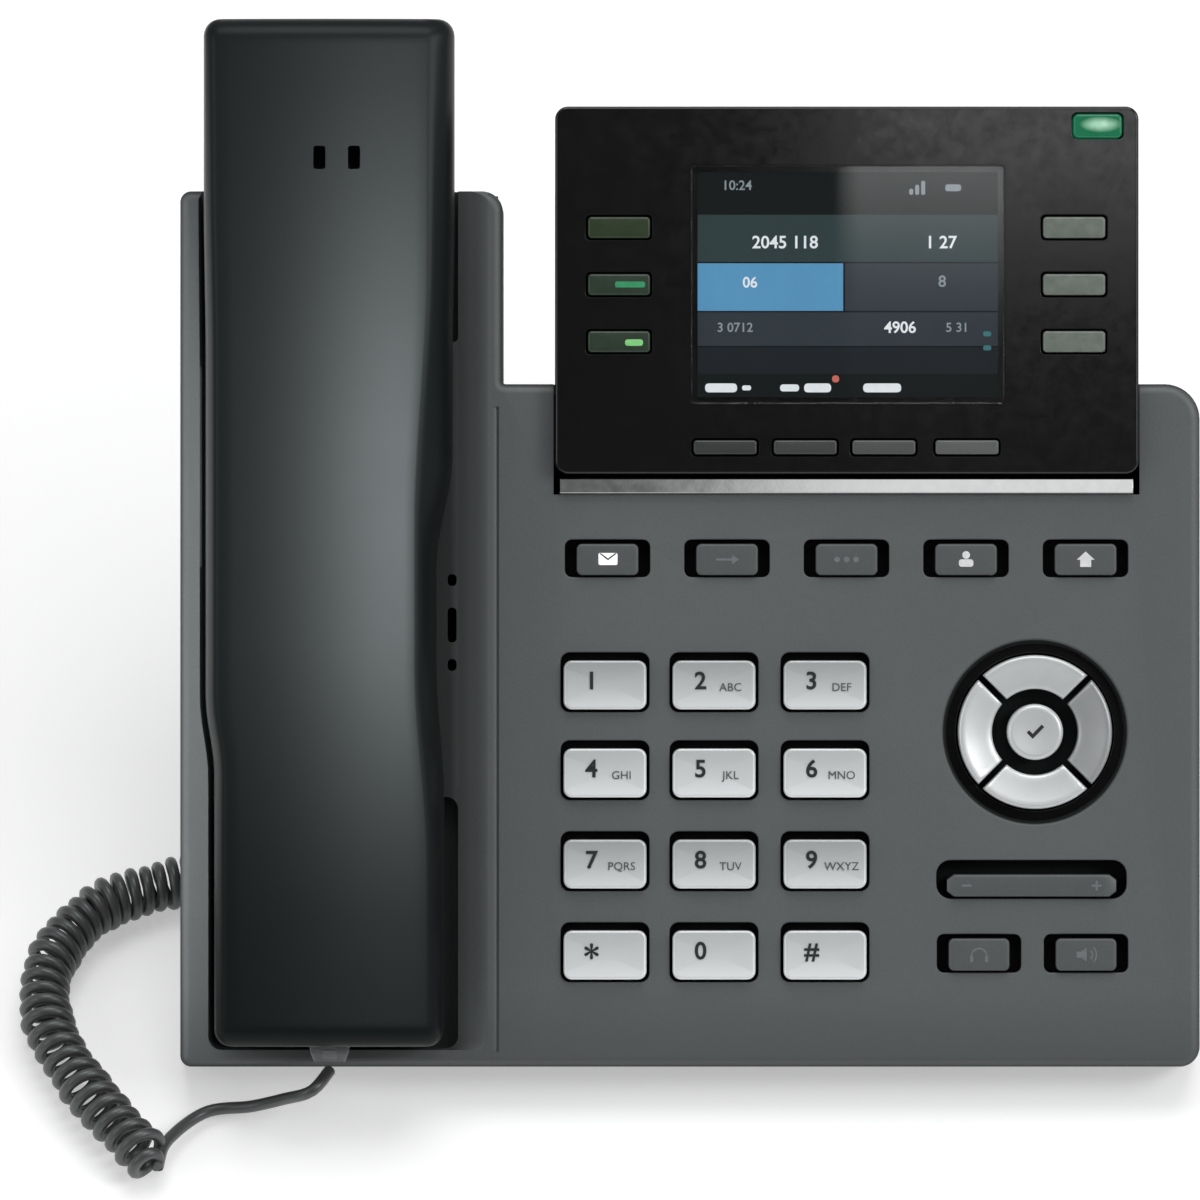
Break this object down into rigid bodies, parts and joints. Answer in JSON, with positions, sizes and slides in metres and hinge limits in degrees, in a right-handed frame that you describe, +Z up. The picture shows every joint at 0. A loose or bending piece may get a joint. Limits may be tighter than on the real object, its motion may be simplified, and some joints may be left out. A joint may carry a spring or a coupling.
{
  "type": "desk ip phone",
  "caption": "Desk IP phone with a corded handset on the left, a raised colour display, dial keys, a navigation ring and a rear stand.",
  "frame": {"origin": "on the desk, under the middle of the front rubber foot strip (the mount desk_rest_front)", "axes": "+X to the right as the user sees the phone, -Y towards the user, +Z up; the face is tilted 40 degrees from the desk, rising towards +Y"},
  "size_m": [0.2371, 0.1823, 0.1578],
  "materials": {
    "housing": "fine spark-eroded texture, mid grey",
    "handset": "satin charcoal with a soft sheen",
    "bezel": "piano black gloss",
    "window": "clear, lightly smoked",
    "screen": "lit colour screen",
    "trim": "bright silver strip",
    "led": "translucent green",
    "key_light": "light silver grey caps",
    "key_grey": "caps in the housing grey",
    "key_dark": "slim lit keys of the display",
    "board": "solder-masked circuit board",
    "silicone": "translucent silicone",
    "black_part": "plain black",
    "rubber": "matte rubber",
    "cord": "satin black jacket",
    "plug": "clear moulded plug",
    "steel": "zinc-plated steel"
  },
  "bodies": {
    "base": {"front_housing": "housing", "rear_housing": "housing", "display_bezel": "bezel", "display_window": "window", "bezel_trim": "trim", "status_led": "led", "main_board": "board", "keypad_membrane": "silicone", "lcd_panel": "screen", "loudspeaker": "black_part", "jack_block": "black_part", "front_foot": "rubber", "housing_screw_left": "steel", "housing_screw_right": "steel", "cord_plug_base": "plug", "handset_cord": "cord"},
    "handset": {"handset_outer_shell": "handset", "handset_inner_shell": "handset", "handset_receiver": "black_part", "handset_microphone": "black_part", "cord_plug_handset": "plug"},
    "hook_switch": {"hook_switch": "housing"},
    "stand": {"stand": "housing", "rear_foot": "rubber"},
    "handset_hook_tab": {"handset_hook_tab": "housing"},
    "volume_rocker": {"volume_rocker": "key_grey"},
    "nav_key_up": {"nav_key_up": "key_light"},
    "nav_key_down": {"nav_key_down": "key_light"},
    "nav_key_left": {"nav_key_left": "key_light"},
    "nav_key_right": {"nav_key_right": "key_light"},
    "ok_key": {"ok_key": "key_light"},
    "key_1": {"key_1": "key_light"},
    "key_2": {"key_2": "key_light"},
    "key_3": {"key_3": "key_light"},
    "key_4": {"key_4": "key_light"},
    "key_5": {"key_5": "key_light"},
    "key_6": {"key_6": "key_light"},
    "key_7": {"key_7": "key_light"},
    "key_8": {"key_8": "key_light"},
    "key_9": {"key_9": "key_light"},
    "key_star": {"key_star": "key_light"},
    "key_0": {"key_0": "key_light"},
    "key_hash": {"key_hash": "key_light"},
    "function_key_1": {"function_key_1": "key_grey"},
    "function_key_2": {"function_key_2": "key_grey"},
    "function_key_3": {"function_key_3": "key_grey"},
    "function_key_4": {"function_key_4": "key_grey"},
    "function_key_5": {"function_key_5": "key_grey"},
    "headset_key": {"headset_key": "key_grey"},
    "speaker_key": {"speaker_key": "key_grey"},
    "line_key_1": {"line_key_1": "key_dark"},
    "line_key_2": {"line_key_2": "key_dark"},
    "line_key_3": {"line_key_3": "key_dark"},
    "line_key_4": {"line_key_4": "key_dark"},
    "line_key_5": {"line_key_5": "key_dark"},
    "line_key_6": {"line_key_6": "key_dark"},
    "soft_key_1": {"soft_key_1": "key_dark"},
    "soft_key_2": {"soft_key_2": "key_dark"},
    "soft_key_3": {"soft_key_3": "key_dark"},
    "soft_key_4": {"soft_key_4": "key_dark"}
  },
  "joints": [
    {"name": "handset_lift", "type": "slide", "parent": "base", "child": "handset", "axis": [0, -0.6428, 0.766], "range_m": [0, 0.08], "deforming": ["handset_cord"]},
    {"name": "hook_switch_rise", "type": "slide", "parent": "base", "child": "hook_switch", "axis": [0, -0.6428, 0.766], "range_m": [0, 0.004]},
    {"name": "stand_unhook", "type": "slide", "parent": "base", "child": "stand", "axis": [0, -0.766, -0.6428], "range_m": [0, 0.0055]},
    {"name": "hook_tab_slide", "type": "slide", "parent": "base", "child": "handset_hook_tab", "axis": [0, 0.766, 0.6428], "range_m": [0, 0.006]},
    {"name": "volume_rock", "type": "hinge", "parent": "base", "child": "volume_rocker", "pos_m": [0.0683, 0.01269, 0.03376], "axis": [0, 0.766, 0.6428], "range_deg": [-2.5, 2.5], "stiffness_Nm_per_rad": 0.02},
    {"name": "nav_key_up_press", "type": "slide", "parent": "base", "child": "nav_key_up", "axis": [0, 0.6428, -0.766], "range_m": [0, 0.001], "stiffness_N_per_m": 200, "springref_m": -0.0003},
    {"name": "nav_key_down_press", "type": "slide", "parent": "base", "child": "nav_key_down", "axis": [0, 0.6428, -0.766], "range_m": [0, 0.001], "stiffness_N_per_m": 200, "springref_m": -0.0003},
    {"name": "nav_key_left_press", "type": "slide", "parent": "base", "child": "nav_key_left", "axis": [0, 0.6428, -0.766], "range_m": [0, 0.001], "stiffness_N_per_m": 200, "springref_m": -0.0003},
    {"name": "nav_key_right_press", "type": "slide", "parent": "base", "child": "nav_key_right", "axis": [0, 0.6428, -0.766], "range_m": [0, 0.001], "stiffness_N_per_m": 200, "springref_m": -0.0003},
    {"name": "ok_key_press", "type": "slide", "parent": "base", "child": "ok_key", "axis": [0, 0.6428, -0.766], "range_m": [0, 0.001], "stiffness_N_per_m": 200, "springref_m": -0.0003},
    {"name": "key_1_press", "type": "slide", "parent": "base", "child": "key_1", "axis": [0, 0.6428, -0.766], "range_m": [0, 0.0012], "stiffness_N_per_m": 250, "springref_m": -0.0003},
    {"name": "key_2_press", "type": "slide", "parent": "base", "child": "key_2", "axis": [0, 0.6428, -0.766], "range_m": [0, 0.0012], "stiffness_N_per_m": 250, "springref_m": -0.0003},
    {"name": "key_3_press", "type": "slide", "parent": "base", "child": "key_3", "axis": [0, 0.6428, -0.766], "range_m": [0, 0.0012], "stiffness_N_per_m": 250, "springref_m": -0.0003},
    {"name": "key_4_press", "type": "slide", "parent": "base", "child": "key_4", "axis": [0, 0.6428, -0.766], "range_m": [0, 0.0012], "stiffness_N_per_m": 250, "springref_m": -0.0003},
    {"name": "key_5_press", "type": "slide", "parent": "base", "child": "key_5", "axis": [0, 0.6428, -0.766], "range_m": [0, 0.0012], "stiffness_N_per_m": 250, "springref_m": -0.0003},
    {"name": "key_6_press", "type": "slide", "parent": "base", "child": "key_6", "axis": [0, 0.6428, -0.766], "range_m": [0, 0.0012], "stiffness_N_per_m": 250, "springref_m": -0.0003},
    {"name": "key_7_press", "type": "slide", "parent": "base", "child": "key_7", "axis": [0, 0.6428, -0.766], "range_m": [0, 0.0012], "stiffness_N_per_m": 250, "springref_m": -0.0003},
    {"name": "key_8_press", "type": "slide", "parent": "base", "child": "key_8", "axis": [0, 0.6428, -0.766], "range_m": [0, 0.0012], "stiffness_N_per_m": 250, "springref_m": -0.0003},
    {"name": "key_9_press", "type": "slide", "parent": "base", "child": "key_9", "axis": [0, 0.6428, -0.766], "range_m": [0, 0.0012], "stiffness_N_per_m": 250, "springref_m": -0.0003},
    {"name": "key_star_press", "type": "slide", "parent": "base", "child": "key_star", "axis": [0, 0.6428, -0.766], "range_m": [0, 0.0012], "stiffness_N_per_m": 250, "springref_m": -0.0003},
    {"name": "key_0_press", "type": "slide", "parent": "base", "child": "key_0", "axis": [0, 0.6428, -0.766], "range_m": [0, 0.0012], "stiffness_N_per_m": 250, "springref_m": -0.0003},
    {"name": "key_hash_press", "type": "slide", "parent": "base", "child": "key_hash", "axis": [0, 0.6428, -0.766], "range_m": [0, 0.0012], "stiffness_N_per_m": 250, "springref_m": -0.0003},
    {"name": "function_key_1_press", "type": "slide", "parent": "base", "child": "function_key_1", "axis": [0, 0.6428, -0.766], "range_m": [0, 0.001], "stiffness_N_per_m": 200, "springref_m": -0.0003},
    {"name": "function_key_2_press", "type": "slide", "parent": "base", "child": "function_key_2", "axis": [0, 0.6428, -0.766], "range_m": [0, 0.001], "stiffness_N_per_m": 200, "springref_m": -0.0003},
    {"name": "function_key_3_press", "type": "slide", "parent": "base", "child": "function_key_3", "axis": [0, 0.6428, -0.766], "range_m": [0, 0.001], "stiffness_N_per_m": 200, "springref_m": -0.0003},
    {"name": "function_key_4_press", "type": "slide", "parent": "base", "child": "function_key_4", "axis": [0, 0.6428, -0.766], "range_m": [0, 0.001], "stiffness_N_per_m": 200, "springref_m": -0.0003},
    {"name": "function_key_5_press", "type": "slide", "parent": "base", "child": "function_key_5", "axis": [0, 0.6428, -0.766], "range_m": [0, 0.001], "stiffness_N_per_m": 200, "springref_m": -0.0003},
    {"name": "headset_key_press", "type": "slide", "parent": "base", "child": "headset_key", "axis": [0, 0.6428, -0.766], "range_m": [0, 0.001], "stiffness_N_per_m": 200, "springref_m": -0.0003},
    {"name": "speaker_key_press", "type": "slide", "parent": "base", "child": "speaker_key", "axis": [0, 0.6428, -0.766], "range_m": [0, 0.001], "stiffness_N_per_m": 200, "springref_m": -0.0003},
    {"name": "line_key_1_press", "type": "slide", "parent": "base", "child": "line_key_1", "axis": [0, 0.6428, -0.766], "range_m": [0, 0.0008], "stiffness_N_per_m": 80, "springref_m": -0.0003},
    {"name": "line_key_2_press", "type": "slide", "parent": "base", "child": "line_key_2", "axis": [0, 0.6428, -0.766], "range_m": [0, 0.0008], "stiffness_N_per_m": 80, "springref_m": -0.0003},
    {"name": "line_key_3_press", "type": "slide", "parent": "base", "child": "line_key_3", "axis": [0, 0.6428, -0.766], "range_m": [0, 0.0008], "stiffness_N_per_m": 80, "springref_m": -0.0003},
    {"name": "line_key_4_press", "type": "slide", "parent": "base", "child": "line_key_4", "axis": [0, 0.6428, -0.766], "range_m": [0, 0.0008], "stiffness_N_per_m": 80, "springref_m": -0.0003},
    {"name": "line_key_5_press", "type": "slide", "parent": "base", "child": "line_key_5", "axis": [0, 0.6428, -0.766], "range_m": [0, 0.0008], "stiffness_N_per_m": 80, "springref_m": -0.0003},
    {"name": "line_key_6_press", "type": "slide", "parent": "base", "child": "line_key_6", "axis": [0, 0.6428, -0.766], "range_m": [0, 0.0008], "stiffness_N_per_m": 80, "springref_m": -0.0003},
    {"name": "soft_key_1_press", "type": "slide", "parent": "base", "child": "soft_key_1", "axis": [0, 0.6428, -0.766], "range_m": [0, 0.0008], "stiffness_N_per_m": 60, "springref_m": -0.0003},
    {"name": "soft_key_2_press", "type": "slide", "parent": "base", "child": "soft_key_2", "axis": [0, 0.6428, -0.766], "range_m": [0, 0.0008], "stiffness_N_per_m": 60, "springref_m": -0.0003},
    {"name": "soft_key_3_press", "type": "slide", "parent": "base", "child": "soft_key_3", "axis": [0, 0.6428, -0.766], "range_m": [0, 0.0008], "stiffness_N_per_m": 60, "springref_m": -0.0003},
    {"name": "soft_key_4_press", "type": "slide", "parent": "base", "child": "soft_key_4", "axis": [0, 0.6428, -0.766], "range_m": [0, 0.0008], "stiffness_N_per_m": 60, "springref_m": -0.0003}
  ],
  "couplings": [
    {"joint": "hook_switch_rise", "follows": "handset_lift", "ratio": 0.05}
  ]
}
